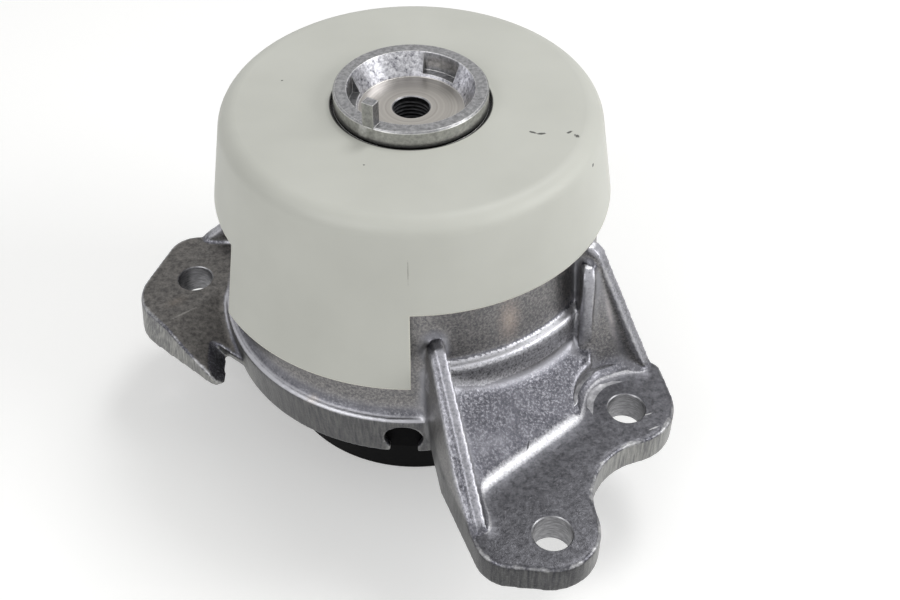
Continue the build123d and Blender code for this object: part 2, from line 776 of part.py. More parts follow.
# Rubber membrane, loose in its recess between the two grids of holes
with BuildPart() as decoupler_membrane:
    with BuildSketch(Plane.XY.offset(lower_plate_top)):
        Circle(membrane_radius)
    extrude(amount=membrane_thickness)
decoupler_membrane.part.label = "decoupler_membrane"

# Seal ring in the upper plate's groove, under the spring ring's flange
with BuildPart() as channel_seal:
    with BuildSketch(Plane.XZ):
        with Locations((seal_radius, sleeve_top - seal_section - fit_gap)):
            Circle(seal_section)
    revolve(axis=Axis.Z)
channel_seal.part.label = "channel_seal"

os.makedirs("parts", exist_ok=True)
for piece in (housing_bracket, core, heat_shield_cap, base_cup, spring_ring, main_spring,
              rebound_buffer, stop_ring, bellows, bellows_ring, lower_channel_plate,
              upper_channel_plate, decoupler_membrane, channel_seal):
    export_step(piece.part, f"parts/{piece.part.label}.step")
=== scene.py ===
from math import cos, pi, radians, sin

import bmesh
import bpy
import numpy as np
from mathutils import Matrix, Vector
from mathutils.bvhtree import BVHTree


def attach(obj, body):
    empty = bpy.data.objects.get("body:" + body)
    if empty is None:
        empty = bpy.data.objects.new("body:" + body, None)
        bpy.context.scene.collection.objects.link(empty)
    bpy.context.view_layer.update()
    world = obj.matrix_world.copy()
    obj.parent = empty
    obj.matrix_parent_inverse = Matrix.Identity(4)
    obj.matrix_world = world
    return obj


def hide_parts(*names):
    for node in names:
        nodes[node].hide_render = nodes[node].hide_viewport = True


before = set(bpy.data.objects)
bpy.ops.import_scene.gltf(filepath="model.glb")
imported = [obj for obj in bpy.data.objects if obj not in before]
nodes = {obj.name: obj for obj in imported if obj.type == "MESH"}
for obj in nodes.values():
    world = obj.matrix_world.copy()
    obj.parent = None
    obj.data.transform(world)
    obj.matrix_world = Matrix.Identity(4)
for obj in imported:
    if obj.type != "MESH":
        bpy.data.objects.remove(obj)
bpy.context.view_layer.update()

# Bracket: one die casting in aluminium, with the pot, the skirt, three lugs, the
# ribs and the web in one piece. The solid is remeshed, so that its hollow corners
# run out in the soft fillets of a casting, and its edges are rolled over.

MM = 0.001
MERGE = 0.001 * MM
CASTING_VOXEL = 0.65 * MM
CASTING_TRIANGLES = 190000
EDGE_ROUNDS = 4
SMALL_ROUNDS = 12
FILLET_ROUNDS = 55
MARK_ROUNDS = 4
POT_INSIDE = 54.0 * MM
BOLT_HOLES = ((39.2, -99.4), (63.4, -54.8), (-71.7, 0.6))
LUG_SEAT = 32.5
LUG_TOP = 42.2
PLUG_RADIUS = 5.8
TURNED_SIDES = 72
LEFT_LUG_EDGE = -52.0 * MM
LEDGE_TOP = 63.2 * MM
LEDGE_FOOT = 54.0 * MM
LEDGE_INSIDE = 58.3 * MM
LEDGE_REACH = 62.0 * MM
LEDGE_BLEND = 3.0 * MM
LEDGE_CRISP = 1.4
LEDGE_FLAT = 0.6 * MM
LEDGE_FACE_SHARE = 0.78
FACING_UP = 0.7
FULL_LIFT = 0.05 * MM
HOLLOW_DEPTH = 0.8 * MM
CREST_HEIGHT = 0.7 * MM
PROUD_HEIGHT = 0.12 * MM


def merged_copy(name):
    """Bmesh copy of a CAD node's mesh with its doubled points merged."""
    shape = bmesh.new()
    shape.from_mesh(nodes[name].data)
    bmesh.ops.remove_doubles(shape, verts=shape.verts, dist=MERGE)
    return shape


def finished(shape, name):
    """Mesh of a bmesh, which is freed."""
    mesh = bpy.data.meshes.new(name)
    shape.to_mesh(mesh)
    shape.free()
    return mesh


def add_turned(shape, middle_mm, profile_mm):
    """Adds a solid turned about an upright axis from a profile of radii and heights."""
    x, y = middle_mm
    points = [shape.verts.new(((x + radius) * MM, y * MM, height * MM))
              for radius, height in profile_mm]
    edges = [shape.edges.new(pair) for pair in zip(points, points[1:])]
    bmesh.ops.spin(shape, geom=points + edges, cent=(x * MM, y * MM, 0), axis=(0, 0, 1),
                   angle=2 * pi, steps=TURNED_SIDES, use_merge=True)
    bmesh.ops.remove_doubles(shape, verts=shape.verts, dist=MERGE)
    bmesh.ops.recalc_face_normals(shape, faces=shape.faces)


def worked(mesh, kind, settings):
    """The mesh that one modifier makes of a mesh."""
    carrier = bpy.data.objects.new("carrier", mesh)
    bpy.context.scene.collection.objects.link(carrier)
    step = carrier.modifiers.new(kind, kind)
    for name, value in settings.items():
        setattr(step, name, value)
    graph = bpy.context.evaluated_depsgraph_get()
    done = bpy.data.meshes.new_from_object(carrier.evaluated_get(graph), depsgraph=graph,
                                           preserve_all_data_layers=True)
    bpy.data.objects.remove(carrier)
    return done


def points_of(mesh, what="co"):
    """Places or normals of a mesh's points."""
    values = np.empty(len(mesh.vertices) * 3)
    mesh.vertices.foreach_get(what, values)
    return values.reshape(-1, 3)


def relaxed(values, ends, rounds):
    """Values of points, each moved half-way to its neighbours' mean this many times."""
    degree = np.bincount(ends.ravel(), minlength=len(values))[:, None]
    for _ in range(rounds):
        total = np.empty_like(values)
        for column in range(3):
            total[:, column] = (
                np.bincount(ends[:, 0], values[ends[:, 1], column], len(values))
                + np.bincount(ends[:, 1], values[ends[:, 0], column], len(values)))
        values = (values + total / degree) / 2
    return values


# The bolt holes are plugged for the remesh, and drilled again after it.
shape = merged_copy("housing_bracket")
for middle_mm in BOLT_HOLES:
    add_turned(shape, middle_mm, ((0, LUG_SEAT), (PLUG_RADIUS, LUG_SEAT),
                                  (PLUG_RADIUS, LUG_TOP), (0, LUG_TOP)))
solid = BVHTree.FromBMesh(shape)
casting = worked(finished(shape, "casting"), "REMESH",
                 {"mode": "VOXEL", "voxel_size": CASTING_VOXEL, "adaptivity": 0.0})
ends = np.empty(len(casting.edges) * 2, dtype=np.int32)
casting.edges.foreach_get("vertices", ends)
ends = ends.reshape(-1, 2)
on_solid = np.array([solid.find_nearest(point)[0] for point in points_of(casting)])
start = relaxed(on_solid, ends, EDGE_ROUNDS)
casting.vertices.foreach_set("co", start.ravel())
casting.update()
outward = points_of(casting, "normal")
rolled = relaxed(start, ends, EDGE_ROUNDS)
small = relaxed(rolled, ends, SMALL_ROUNDS - EDGE_ROUNDS)
large = relaxed(small, ends, FILLET_ROUNDS - SMALL_ROUNDS)
edge_lift, small_lift, large_lift = (((after - start) * outward).sum(axis=1)
                                     for after in (rolled, small, large))

# A point takes its relaxed place only where that lifts it, which is in a hollow
# corner. The ledge and the left lug get small fillets, and the rest large ones.
heights = start[:, 2]
from_axis = np.hypot(start[:, 0], start[:, 1])
free = from_axis > POT_INSIDE
near_ledge = np.clip(LEDGE_CRISP - np.abs(heights - LEDGE_TOP) / LEDGE_BLEND, 0, 1)
crisp = np.maximum(near_ledge * (from_axis < LEDGE_REACH), start[:, 0] < LEFT_LUG_EDGE)
share_small = np.clip(small_lift / FULL_LIFT, 0, 1) * crisp * free
share_large = np.clip(large_lift / FULL_LIFT, 0, 1) * (1 - crisp) * free
final = start + (small - start) * share_small[:, None] + (large - start) * share_large[:, None]
casting.vertices.foreach_set("co", final.ravel())

# The same lifts tell the finish where the hollows, crests and proud edges are.
by_ledge = (from_axis < LEDGE_REACH) & (start[:, 0] > 0) & (start[:, 1] < 0)
ledge_flat = (by_ledge & free & (outward[:, 2] > FACING_UP)
              & (np.abs(heights - LEDGE_TOP) < LEDGE_FLAT))
ledge_face = (by_ledge & (from_axis > LEDGE_INSIDE) & (outward[:, 2] < FACING_UP)
              & (heights < LEDGE_TOP) & (heights > LEDGE_FOOT))
depths = np.column_stack(((small_lift * crisp + large_lift * (1 - crisp)) / HOLLOW_DEPTH,
                          -edge_lift / PROUD_HEIGHT, -large_lift / CREST_HEIGHT))
depths = relaxed(np.clip(depths, 0, 1), ends, MARK_ROUNDS)
for name, depth in zip(("hollow", "proud", "crest", "ledge"),
                       (*depths.T, np.where(ledge_flat, 1.0, ledge_face * LEDGE_FACE_SHARE))):
    layer = casting.attributes.new(name, "FLOAT", "POINT")
    layer.data.foreach_set("value", depth)
casting.update()
triangles = sum(len(face.vertices) - 2 for face in casting.polygons)
casting = worked(casting, "DECIMATE", {"ratio": CASTING_TRIANGLES / triangles})

# Die-cast aluminium, as it came from the die and the tumbler: bright speckle on
# what the die shaped, drag marks down the walls, dull dark lug tops, and light
# metal along rubbed edges. Painted light as well: painted shade on the front lug's
# walls, painted highlights on the crests, the web's foot and the skirt's rim, and a
# painted reflection on the clean metal in the hollows.

BASE_TONES = (0.32, "#3E3E43"), (0.50, "#54545A"), (0.70, "#75757B")
GRIT_TONES = (0.34, "#36363C"), (0.50, "#54545A"), (0.66, "#9A9AA0")
POT_TONES = (0.38, "#6A6A6C"), (0.64, "#9A9794")
WALL_TONES = (0.36, "#505052"), (0.66, "#727270")
FRONT_WALL_SHADE_TONES = (0.36, "#2C2C2E"), (0.66, "#565654")
TRIM_TONES = (0.38, "#6C6C6C"), (0.62, "#9E9E99")
LUG_TONES = (0.36, "#3A3A3D"), (0.66, "#5E5E62")
LEFT_LUG_TONES = (0.36, "#474543"), (0.66, "#716E6A")
RIM_PAINTED_HIGHLIGHT = "#B4B4B9"
CREST_PAINTED_HIGHLIGHT = "#A6A6AC"
HOLLOW_PAINTED_REFLECTION = "#8E8E93"
WEB_FOOT_PAINTED_HIGHLIGHT = "#D8D8DB"
LEDGE_LIGHT = "#CACACF"
RUBBED_LIGHT = "#D4D4D2"
SPECKLE_MM = 0.75
MOTTLE_MM = 5.0
PATCH_MM = 18.0
DRAG_MM = 0.7
DRAG_LENGTH_RATIO = 0.08
LUG_MOTTLE_MM = 1.6
STEEP = 0.22, 0.45
LEVEL = 0.90, 0.96
RIM_SLOPE = (0.30, "#000000"), (0.45, "#FFFFFF"), (0.85, "#FFFFFF"), (0.95, "#000000")
FOOT_SLOPE = (0.885, "#000000"), (0.93, "#FFFFFF"), (0.98, "#FFFFFF"), (1.0, "#000000")
ABOVE_LUGS = 42.5 * MM, 45.0 * MM
UP_TO_LUGS = 42.8 * MM, 44.2 * MM
TRIM_SIDE = 46.0 * MM, 54.0 * MM
FRONT_END = -90.0 * MM, -78.0 * MM
LEFT_SIDE = -54.0 * MM, -46.0 * MM
RIM_START = 38.5 * MM, 40.0 * MM
RIM_END = 43.4 * MM, 44.0 * MM
RIM_INSIDE = 59.0 * MM, 59.8 * MM
RIM_OUTSIDE = 65.5 * MM, 67.5 * MM
FOOT_START = 42.4 * MM, 43.0 * MM
FOOT_SIDE = 14.0 * MM, 18.0 * MM
HOLLOW_RISE = 43.0 * MM, 48.0 * MM
CHIPPING = 1.6
MARK_REACH = 1.2
MARK_START = 1.25


def linear(code):
    """Linear colour, with alpha, of a hex sRGB code."""
    parts = [int(code[start:start + 2], 16) / 255 for start in (1, 3, 5)]
    return tuple(part / 12.92 if part <= 0.04045 else ((part + 0.055) / 1.055) ** 2.4
                 for part in parts) + (1,)


def per(size_mm):
    """Texture scale whose features are about this many millimetres across."""
    return 1 / (size_mm * MM)


def add_node(tree, kind, settings=None, inputs=None):
    """Adds a node, sets its properties and ramp stops, and fills or links its inputs."""
    made = tree.nodes.new(kind)
    for name, value in (settings or {}).items():
        if name == "stops":
            steps = made.color_ramp.elements
            steps[0].position, steps[1].position = value[0][0], value[-1][0]
            steps[0].color, steps[1].color = linear(value[0][1]), linear(value[-1][1])
            for position, code in value[1:-1]:
                steps.new(position).color = linear(code)
        else:
            setattr(made, name, value)
    for name, value in (inputs or {}).items():
        if isinstance(value, bpy.types.NodeSocket):
            tree.links.new(value, made.inputs[name])
        else:
            made.inputs[name].default_value = value
    return made


def new_finish(name):
    """Empty material with its node tree, shader and object coordinates."""
    material = bpy.data.materials.new(name)
    material.use_nodes = True
    tree = material.node_tree
    tree.nodes.clear()
    surface = add_node(tree, "ShaderNodeBsdfPrincipled")
    add_node(tree, "ShaderNodeOutputMaterial", None, {"Surface": surface.outputs["BSDF"]})
    place = add_node(tree, "ShaderNodeTexCoord").outputs["Object"]
    return material, tree, surface, place


def distance_from_axis(tree, across, along):
    """Distance of a place from the mount's upright axis."""
    flat = add_node(tree, "ShaderNodeCombineXYZ", None, {"X": across, "Y": along}).outputs[0]
    return add_node(tree, "ShaderNodeVectorMath", {"operation": "LENGTH"},
                    {0: flat}).outputs["Value"]


def overlaid(tree, skin, tone, *masks):
    """Skin with a tone laid over it, as far as all of its masks let it through."""
    share = masks[0]
    for mask in masks[1:]:
        share = add_node(tree, "ShaderNodeMath", {"operation": "MULTIPLY"},
                         {0: share, 1: mask}).outputs[0]
    return add_node(tree, "ShaderNodeMix", {"data_type": "RGBA"},
                    {0: share, 6: skin, 7: tone}).outputs[2]


def add_mark(tree, place, skin, centre_mm, size_mm, turn_degrees, tone, grain_mm, cover,
             fade=0.2, most=1.0):
    """Small mark of another tone on a skin, its edge broken up by a grain."""
    local = add_node(tree, "ShaderNodeMapping", {"vector_type": "TEXTURE"},
                     {"Vector": place, "Location": [part * MM for part in centre_mm],
                      "Rotation": [radians(part) for part in turn_degrees],
                      "Scale": [part * MM for part in size_mm]})
    inside = add_node(tree, "ShaderNodeTexGradient", {"gradient_type": "SPHERICAL"},
                      {"Vector": local.outputs["Vector"]}).outputs["Fac"]
    grain = add_node(tree, "ShaderNodeTexNoise", None,
                     {"Vector": place, "Scale": per(grain_mm), "Detail": 3.0, "Roughness": 0.7})
    broken = add_node(tree, "ShaderNodeMath", {"operation": "MULTIPLY_ADD"},
                      {0: inside, 1: MARK_REACH, 2: grain.outputs["Fac"]}).outputs[0]
    masks = [add_node(tree, "ShaderNodeMapRange", None,
                      {"Value": value, "From Min": start, "From Max": start + fade,
                       "To Max": high}).outputs["Result"]
             for value, start, high in ((broken, MARK_START - cover, most), (inside, 0.0, 1.0))]
    return overlaid(tree, skin, linear(tone), *masks)


cast_aluminium, tree, surface, place = new_finish("die_cast_aluminium")
across, along, height = add_node(tree, "ShaderNodeSeparateXYZ", None, {0: place}).outputs
radius = distance_from_axis(tree, across, along)
normal = add_node(tree, "ShaderNodeNewGeometry").outputs["Normal"]
facing = add_node(tree, "ShaderNodeSeparateXYZ", None, {0: normal}).outputs["Z"]
steepness, aside = (
    add_node(tree, "ShaderNodeMath", {"operation": "ABSOLUTE"}, {0: value}).outputs[0]
    for value in (facing, across))
hollow, proud, crest, ledge = (
    add_node(tree, "ShaderNodeAttribute", {"attribute_name": name}).outputs["Fac"]
    for name in ("hollow", "proud", "crest", "ledge"))
drawn = add_node(tree, "ShaderNodeMapping", None,
                 {"Vector": place, "Scale": (1, 1, DRAG_LENGTH_RATIO)}).outputs["Vector"]
speckle, mottle, patches, drag, lug_grain = (
    add_node(tree, "ShaderNodeTexNoise", None,
             {"Vector": where, "Scale": per(size_mm), "Detail": detail,
              "Roughness": roughness}).outputs["Fac"]
    for where, size_mm, detail, roughness in (
        (place, SPECKLE_MM, 3.0, 0.75), (place, MOTTLE_MM, 4.0, 0.6),
        (place, PATCH_MM, 2.0, 0.5), (drawn, DRAG_MM, 4.0, 0.65),
        (place, LUG_MOTTLE_MM, 5.0, 0.7)))
chipped = add_node(tree, "ShaderNodeMath", {"operation": "MULTIPLY_ADD"},
                   {0: mottle, 1: CHIPPING, 2: proud}).outputs[0]
tones = {name: add_node(tree, "ShaderNodeValToRGB", {"stops": stops},
                        {"Fac": value}).outputs["Color"]
         for name, value, stops in (
             ("base", mottle, BASE_TONES), ("grit", speckle, GRIT_TONES),
             ("wall", drag, WALL_TONES), ("front", drag, FRONT_WALL_SHADE_TONES),
             ("trim", drag, TRIM_TONES), ("pot", speckle, POT_TONES),
             ("lug", lug_grain, LUG_TONES), ("left_lug", lug_grain, LEFT_LUG_TONES),
             ("rim_slope", facing, RIM_SLOPE), ("foot_slope", facing, FOOT_SLOPE))}
masks = {name: add_node(tree, "ShaderNodeMapRange", None,
                        {"Value": value, "From Min": start, "From Max": end, "To Min": low,
                         "To Max": high}).outputs["Result"]
         for name, value, (start, end), low, high in (
             ("wall", steepness, STEEP, 0.8, 0.0),
             ("pot", height, ABOVE_LUGS, 0.0, 1.0),
             ("trim", aside, TRIM_SIDE, 0.0, 1.0),
             ("front", along, FRONT_END, 1.0, 0.0),
             ("left", across, LEFT_SIDE, 1.0, 0.0),
             ("level", facing, LEVEL, 0.0, 0.9),
             ("lug_height", height, UP_TO_LUGS, 1.0, 0.0),
             ("rim_start", height, RIM_START, 0.0, 1.0),
             ("rim_end", height, RIM_END, 1.0, 0.0),
             ("rim_inside", radius, RIM_INSIDE, 0.0, 1.0),
             ("rim_outside", radius, RIM_OUTSIDE, 0.85, 0.0),
             ("foot_start", height, FOOT_START, 0.0, 1.0),
             ("foot_side", across, FOOT_SIDE, 0.0, 1.0),
             ("hollow", hollow, (0.10, 0.70), 0.0, 0.85),
             ("hollow_rise", height, HOLLOW_RISE, 0.35, 1.0),
             ("grit", patches, (0.35, 0.65), 0.35, 0.75),
             ("rubbed", chipped, (1.50, 2.1), 0.0, 0.75))}

# The crests and the foot of the web get a painted highlight where the speckle
# is, and the ledge the bright speckle of its own finish.
for name, start, end, parts in (
        ("crest", 0.12, 0.50, (crest, masks["pot"])),
        ("foot", 0.08, 0.55, (tones["foot_slope"], masks["foot_start"], masks["foot_side"])),
        ("ledge", 0.26, 0.50, (ledge,))):
    speckled = speckle
    for part in parts:
        speckled = add_node(tree, "ShaderNodeMath", {"operation": "MULTIPLY"},
                            {0: speckled, 1: part}).outputs[0]
    masks[name] = add_node(tree, "ShaderNodeMapRange", None,
                           {"Value": speckled, "From Min": start, "From Max": end,
                            "To Max": 0.9}).outputs["Result"]
wall_tone = tones["wall"]
# The front lug's walls get darker tones: painted shade.
for name in ("front", "trim", "pot"):
    wall_tone = overlaid(tree, wall_tone, tones[name], masks[name])
lug_tone = overlaid(tree, tones["lug"], tones["left_lug"], masks["left"])
skin = tones["base"]
for tone, *parts in (
        (tones["grit"], masks["grit"]),
        (wall_tone, masks["wall"]),
        (lug_tone, masks["level"], masks["lug_height"]),
        # Painted highlight along the skirt's rim.
        (linear(RIM_PAINTED_HIGHLIGHT), tones["rim_slope"], masks["rim_start"], masks["rim_outside"],
         masks["rim_inside"], masks["rim_end"]),
        # Painted highlight on the crests.
        (linear(CREST_PAINTED_HIGHLIGHT), masks["crest"]),
        # The hollows: a painted reflection, a little lighter, on clean metal.
        (linear(HOLLOW_PAINTED_REFLECTION), masks["hollow"], masks["hollow_rise"]),
        # Painted highlight at the foot of the web.
        (linear(WEB_FOOT_PAINTED_HIGHLIGHT), masks["foot"]),
        (linear(LEDGE_LIGHT), masks["ledge"]),
        (linear(RUBBED_LIGHT), masks["rubbed"])):
    skin = overlaid(tree, skin, tone, *parts)

# Single marks: a warm painted highlight on the pot, a scratch on the web, two
# lines and a chip on the right lug, a painted highlight down the saddle, a stain
# and a painted highlight along the crease on the left lug, and a warm patch on
# the flange.
for centre_mm, size_mm, turn_degrees, tone, grain_mm, cover, fade, most in (
        # A warm painted highlight on the pot.
        ((28.3, -49.2, 73.0), (9.0, 7.0, 19.0), (0, 0, 30), "#C9B8AC", 0.8, 0.20, 0.9, 0.75),
        ((33.7, -70.4, 43.7), (0.4, 2.6, 1.4), (0, 0, -14), "#2A2A2C", 0.6, 0.45, 0.3, 0.8),
        ((69.5, -57.1, 42.2), (2.6, 0.35, 1.0), (0, 0, 22), "#C8C8C8", 0.6, 0.35, 0.3, 0.5),
        ((70.6, -62.4, 42.2), (3.2, 0.35, 1.0), (0, 0, 26), "#C8C8C8", 0.6, 0.35, 0.3, 0.5),
        ((74.7, -57.4, 41.4), (2.4, 1.2, 1.2), (0, 0, 50), "#C2C2C0", 0.6, 0.15, 0.4, 0.6),
        # A painted highlight down the saddle.
        ((58.4, -35.4, 62.0), (1.9, 2.6, 20.0), (0, -16, -20), "#CBC5C5", 1.0, 0.35, 0.9, 0.8),
        ((-76.3, -10.5, 42.2), (10.0, 5.0, 2.0), (0, 0, 35), "#6E645A", 1.2, 0.20, 0.9, 0.5),
        # A painted highlight along the left lug's crease.
        ((-73.1, -15.8, 42.1), (7.5, 0.6, 1.5), (0, 0, 38), "#8E8C88", 0.8, 0.40, 0.5, 0.6),
        ((-30.0, -53.0, 43.0), (9.0, 5.0, 4.0), (0, 0, 30), "#B4ABA2", 0.6, 0.15, 0.9, 0.7)):
    skin = add_mark(tree, place, skin, centre_mm, size_mm, turn_degrees, tone, grain_mm,
                    cover, fade, most)
relief = add_node(tree, "ShaderNodeBump", None,
                  {"Height": speckle, "Strength": 0.45, "Distance": 0.18 * MM})
rough = add_node(tree, "ShaderNodeMapRange", None,
                 {"Value": mottle, "To Min": 0.26, "To Max": 0.46})
tree.links.new(skin, surface.inputs["Base Color"])
tree.links.new(rough.outputs["Result"], surface.inputs["Roughness"])
tree.links.new(relief.outputs["Normal"], surface.inputs["Normal"])
surface.inputs["Metallic"].default_value = 0.9

# Bolt holes and spotface: drilled and milled after casting, so they are clean
# and round, with a small chamfer. The turning marks are drawn coarser than real
# ones, to show. Tapped metal is the same but painted darker, painted shade so
# that a thread looks deep.

HOLE_RADIUS = 5.5
HOLE_CHAMFER = 0.3
CUT_CLEARANCE = 1.0
FACE_CLEARANCE = 0.05
SPOT_FLOOR_RADIUS = 10.5
SPOT_CORNER = 3.5
SPOT_CORNER_TURNS = (0, 20, 40, 55, 67.5)
SPOT_STEP_RADIUS = 15.6
SPOT_TOP = 67.2
SHARP_ANGLE = radians(30)
TURNING_MM = 0.45
TURNING_STRETCH = 0.25
cut_finishes = {}
# The tapped metal's tones are darker: painted shade in the thread.
for finish_name, dark, light, roughness in (("milled_aluminium", "#727275", "#98989A", 0.4),
                                            ("tapped_aluminium_painted_shade", "#2C2C2D", "#4C4C4E", 0.45)):
    cut_finishes[finish_name], tree, surface, place = new_finish(finish_name)
    drawn = add_node(tree, "ShaderNodeMapping", None,
                     {"Vector": place, "Scale": (TURNING_STRETCH, TURNING_STRETCH, 1)})
    rings = add_node(tree, "ShaderNodeTexNoise", None,
                     {"Vector": drawn.outputs["Vector"], "Scale": per(TURNING_MM),
                      "Detail": 3.0})
    skin = add_node(tree, "ShaderNodeValToRGB", {"stops": ((0.35, dark), (0.68, light))},
                    {"Fac": rings.outputs["Fac"]})
    relief = add_node(tree, "ShaderNodeBump", None,
                      {"Height": rings.outputs["Fac"], "Strength": 0.3,
                       "Distance": 0.06 * MM})
    tree.links.new(skin.outputs["Color"], surface.inputs["Base Color"])
    tree.links.new(relief.outputs["Normal"], surface.inputs["Normal"])
    surface.inputs["Metallic"].default_value = 1.0
    surface.inputs["Roughness"].default_value = roughness


def cut_from(mesh, finishes, cutter, cut_finish):
    """Mesh in its finishes with a cutter's shape taken away, its cut faces in their own."""
    mesh.materials.clear()
    for finish in finishes:
        mesh.materials.append(finish)
    cutter_mesh = finished(cutter, "cutter")
    cutter_mesh.materials.append(cut_finish)
    tool = bpy.data.objects.new("cutter", cutter_mesh)
    bpy.context.scene.collection.objects.link(tool)
    done = worked(mesh, "BOOLEAN", {"operation": "DIFFERENCE", "solver": "EXACT",
                                    "material_mode": "TRANSFER", "object": tool})
    bpy.data.objects.remove(tool)
    return done


def shade(mesh, cuts_only):
    """Shades a mesh smooth up to its sharp edges, or to those of its cut faces only."""
    shape = bmesh.new()
    shape.from_mesh(mesh)
    for face in shape.faces:
        face.smooth = True
    for edge in shape.edges:
        counts = not cuts_only or any(face.material_index for face in edge.link_faces)
        edge.smooth = not (counts and edge.calc_face_angle(0) > SHARP_ANGLE)
    shape.to_mesh(mesh)
    shape.free()


def add_piece(name, mesh, node):
    """Puts a mesh in the scene as the piece that stands for a CAD node."""
    piece = bpy.data.objects.new(name, mesh)
    bpy.context.scene.collection.objects.link(piece)
    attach(piece, "root")
    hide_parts(node)


drill_top = LUG_TOP + FACE_CLEARANCE
drill = ((0, LUG_SEAT - CUT_CLEARANCE), (HOLE_RADIUS, LUG_SEAT - CUT_CLEARANCE),
         (HOLE_RADIUS, LUG_TOP - HOLE_CHAMFER),
         (HOLE_RADIUS + HOLE_CHAMFER + FACE_CLEARANCE, drill_top))
corner = tuple((SPOT_FLOOR_RADIUS + SPOT_CORNER * sin(radians(turn)),
                drill_top + SPOT_CORNER * (1 - cos(radians(turn))))
               for turn in SPOT_CORNER_TURNS)
front_hole, right_hole, left_hole = BOLT_HOLES
cutter = bmesh.new()
for middle_mm in (front_hole, left_hole):
    add_turned(cutter, middle_mm, drill + ((0, drill_top),))
add_turned(cutter, right_hole, drill + corner + (
    (SPOT_STEP_RADIUS, corner[-1][1]), (SPOT_STEP_RADIUS, SPOT_TOP), (0, SPOT_TOP)))
casting = cut_from(casting, (cast_aluminium,), cutter, cut_finishes["milled_aluminium"])
shade(casting, cuts_only=True)
add_piece("bracket_casting", casting, "housing_bracket")

# Cap: an injection-moulded heat shield in pale grey plastic, pressed over the
# pot. It is matt and slightly grained, with a few scuffs from handling. Its lower
# edges get a painted highlight, and the edge of its hole a painted shadow.

CAP_GREY = "#C8C9C1"
CAP_SHADE = "#C0C1B9"
CAP_SCUFF = "#4C4C48"
CAP_SCRATCH = "#84827A"
CAP_EDGE_HIGHLIGHT = "#FBF9EA"
CAP_HOLE_PAINTED_SHADOW = "#1E1E1C"
CAP_EDGE_MM = 0.6
CAP_GRAIN_MM = 0.35
CAP_CLOUD_MM = 30.0
SCUFF_GRAIN_MM = 0.45
SCRATCH_GRAIN_MM = 0.8
LOWER_EDGES = 104.0 * MM, 106.0 * MM
HOLE_SHADOW = 23.4 * MM, 23.7 * MM
FLAT = 0.995


def dress(name, material):
    """Gives a CAD node its finish in every slot."""
    slots = nodes[name].data.materials
    if not slots:
        slots.append(material)
    for index in range(len(slots)):
        slots[index] = material


def edges_of(tree, radius_mm, sharp, most):
    """Normals rolled over at the edges, and a mask of those edges."""
    rounded = add_node(tree, "ShaderNodeBevel", {"samples": 6},
                       {"Radius": radius_mm * MM}).outputs["Normal"]
    plain = add_node(tree, "ShaderNodeNewGeometry").outputs["Normal"]
    match = add_node(tree, "ShaderNodeVectorMath", {"operation": "DOT_PRODUCT"},
                     {0: rounded, 1: plain}).outputs["Value"]
    mask = add_node(tree, "ShaderNodeMapRange", None,
                    {"Value": match, "From Min": sharp, "From Max": FLAT, "To Min": most,
                     "To Max": 0.0}).outputs["Result"]
    return rounded, mask


cap_plastic, tree, surface, place = new_finish("moulded_cap_plastic")
across, along, height = add_node(tree, "ShaderNodeSeparateXYZ", None, {0: place}).outputs
radius = distance_from_axis(tree, across, along)
grain = add_node(tree, "ShaderNodeTexNoise", None,
                 {"Vector": place, "Scale": per(CAP_GRAIN_MM), "Detail": 2.0})
cloud = add_node(tree, "ShaderNodeTexNoise", None,
                 {"Vector": place, "Scale": per(CAP_CLOUD_MM), "Detail": 3.0})
skin = add_node(tree, "ShaderNodeValToRGB", {"stops": ((0.35, CAP_GREY), (0.75, CAP_SHADE))},
                {"Fac": cloud.outputs["Fac"]}).outputs["Color"]
rounded, edge = edges_of(tree, CAP_EDGE_MM, 0.88, 1.0)
low_down, painted_hole_shadow = (
    add_node(tree, "ShaderNodeMapRange", None,
             {"Value": value, "From Min": start, "From Max": end, "To Min": 1.0,
              "To Max": 0.0}).outputs["Result"]
    for value, (start, end) in ((height, LOWER_EDGES), (radius, HOLE_SHADOW)))
# Painted highlight on the lower edges, and painted shadow round the hole.
skin = overlaid(tree, skin, linear(CAP_EDGE_HIGHLIGHT), edge, low_down)
skin = overlaid(tree, skin, linear(CAP_HOLE_PAINTED_SHADOW), painted_hole_shadow)
for centre_mm, size_mm, turn_degrees, cover in (
        ((34.2, -15.0, 112.6), (2.0, 0.7, 2.0), (0, 0, -25), 0.30),
        ((36.6, -15.6, 112.6), (2.2, 0.9, 2.0), (0, 0, 8), 0.25),
        ((44.4, -14.9, 112.5), (1.9, 0.8, 2.0), (0, 0, 35), 0.22),
        ((46.4, -16.6, 112.2), (2.4, 1.5, 2.0), (0, 0, -50), 0.12),
        ((50.7, -23.1, 107.5), (0.8, 0.8, 0.8), (0, 0, 0), 0.45),
        ((-12.0, -30.0, 112.6), (0.5, 0.4, 1.0), (0, 0, 0), 0.35),
        ((-38.0, 10.0, 112.6), (0.6, 0.4, 1.0), (0, 0, 20), 0.35)):
    skin = add_mark(tree, place, skin, centre_mm, size_mm, turn_degrees, CAP_SCUFF,
                    SCUFF_GRAIN_MM, cover)
skin = add_mark(tree, place, skin, (0.3, -57.2, 98.3), (0.3, 3.0, 9.5), (9, 0, 0),
                CAP_SCRATCH, SCRATCH_GRAIN_MM, 0.30, 0.4, 0.6)
relief = add_node(tree, "ShaderNodeBump", None,
                  {"Height": grain.outputs["Fac"], "Strength": 0.15, "Distance": 0.05 * MM,
                   "Normal": rounded})
tree.links.new(skin, surface.inputs["Base Color"])
tree.links.new(relief.outputs["Normal"], surface.inputs["Normal"])
surface.inputs["Roughness"].default_value = 0.46
dress("heat_shield_cap", cap_plastic)

# Core: an aluminium casting whose collar stands through the cap. Its seat is
# turned and its hole is tapped M12. The cone round the seat is bright with dark
# specks, and the rings on the seat are drawn coarser than real ones, to show.

